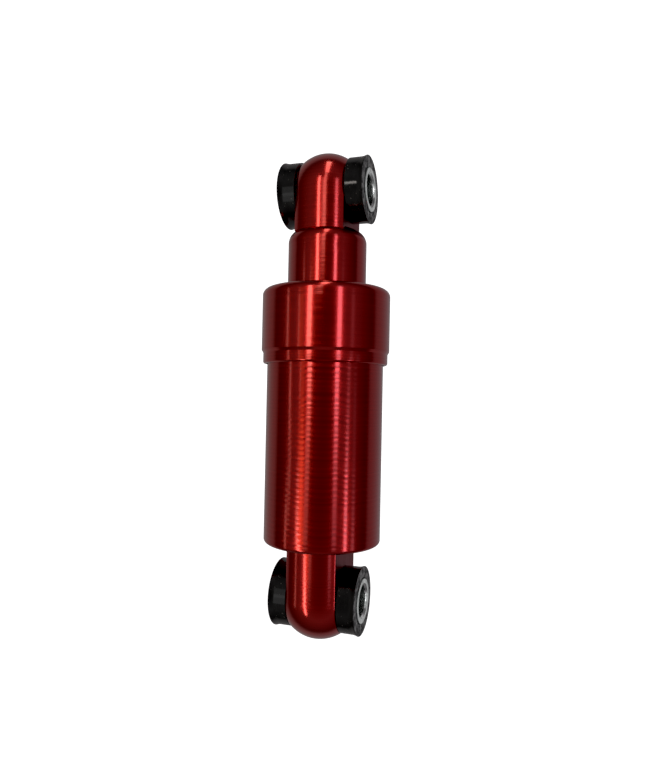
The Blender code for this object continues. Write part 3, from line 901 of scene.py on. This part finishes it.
def glowing(name, colour, glow):
    """Plain paper that is lit evenly, for the floor and the backdrop."""
    material = bpy.data.materials.new(name)
    material.use_nodes = True
    shader = material.node_tree.nodes["Principled BSDF"]
    shader.inputs["Base Color"].default_value = (*colour, 1.0)
    shader.inputs["Roughness"].default_value = 0.9
    shader.inputs["Specular IOR Level"].default_value = 0.1
    shader.inputs["Emission Color"].default_value = (*colour, 1.0)
    shader.inputs["Emission Strength"].default_value = glow
    return material


def seen_by_camera_only(obj):
    for ray in ("visible_diffuse", "visible_glossy", "visible_transmission", "visible_volume_scatter"):
        setattr(obj, ray, False)


def make_stage():
    """A pale round floor inside a pale dome. Neither shows in the object's reflections."""
    bpy.ops.mesh.primitive_circle_add(vertices=96, radius=2.5, fill_type="NGON", location=(0, 0, -0.45))
    floor = bpy.context.object
    floor.name = "floor"
    floor.data.materials.append(glowing("pale_floor", (0.93, 0.93, 0.93), 1.15))
    bpy.ops.mesh.primitive_uv_sphere_add(segments=48, ring_count=24, radius=3.5)
    dome = bpy.context.object
    dome.name = "backdrop"
    dome.data.materials.append(glowing("pale_backdrop", (1.0, 1.0, 1.0), 1.1))
    seen_by_camera_only(floor)
    seen_by_camera_only(dome)
    dome.visible_shadow = False


# ---------------------------------------------------------------- the whole

def finish_carried_nodes(seal):
    """Materials for the inner parts, which stay as the CAD has them."""
    screw = zinc_steel("screw_steel", (0.36, 0.36, 0.37), (0.2, 0.2, 0.2), 0.3)
    bare = zinc_steel("bare_aluminium", (0.82, 0.82, 0.84), (0.68, 0.68, 0.7), 0.25)
    carried = {
        "lower_eye_screw": screw,
        "lower_eye_washer": screw,
        "lower_spring_seat": screw,
        "upper_spring_seat": screw,
        "piston_screw": screw,
        "piston_washer": screw,
        "piston": bare,
        "guide_bush": zinc_steel("guide_bronze", (0.45, 0.29, 0.13), (0.3, 0.18, 0.08), 0.35),
        "cap_o_ring": seal,
        "top_out_bumper": seal,
        "bottom_out_bumper": rubber("bumper_urethane", (0.55, 0.36, 0.08), 0.4),
        "piston_ring": rubber("wear_ring_plastic", (0.16, 0.08, 0.04), 0.5),
    }
    for node, material in carried.items():
        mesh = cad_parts[node].data
        mesh.materials.clear()
        mesh.materials.append(material)


def set_view():
    """Plain colours, with a black point a little above zero."""
    view = bpy.context.scene.view_settings
    view.view_transform = "Standard"
    view.use_curve_mapping = True
    view.curve_mapping.black_level = (BLACK_POINT,) * 3
    view.curve_mapping.update()


def main():
    body_red = red_anodised("red_body", 1.35 * MM, 7 * MICRON, 0.035)
    cap_red = red_anodised("red_cap", 2.1 * MM, 4 * MICRON, 0.015)
    eye_red = red_anodised("red_eye", 1.1 * MM, 1.5 * MICRON)
    # The flats' red is darker than the turned parts' red, and the difference is painted shade.
    cut_flat_shaded = cut_flat_red_shaded("cut_flat_red_painted_shade")
    nylon = black_nylon("nylon_skin")
    cut_nylon = nylon_face("black_nylon_face")
    zinc = zinc_steel("zinc_steel")
    rough_bore = zinc_bore("zinc_bore")
    seal = rubber("seal_rubber", (0.012, 0.012, 0.012), 0.6)

    reds = [
        make_body(body_red),
        make_cap(cap_red),
        make_lower_eye(eye_red, cut_flat_shaded),
        make_upper_eye(eye_red, cut_flat_shaded),
    ]
    make_wiper(seal)
    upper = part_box("upper_eye")[1].z - UPPER_COLUMN_RADIUS
    sleeves = [
        make_sleeve("lower_sleeve", 0.0, "lower_bolt_sleeve", zinc, rough_bore),
        make_sleeve("upper_sleeve", upper, "upper_bolt_sleeve", zinc, rough_bore),
    ]
    bushings = []
    for name, side in (("right", 1), ("left", -1)):
        for end, height, body in (("lower", 0.0, "cylinder"), ("upper", upper, "rod")):
            node = end + "_bushing_" + name
            bushings.append(make_bushing(node, side, height, body, nylon, cut_nylon))
    make_spring(zinc_steel("spring_steel", (0.13, 0.13, 0.14), (0.06, 0.06, 0.06), 0.35))
    finish_carried_nodes(seal)

    make_camera()
    make_lights(reds, bushings, sleeves)
    make_world()
    make_stage()
    set_view()


main()
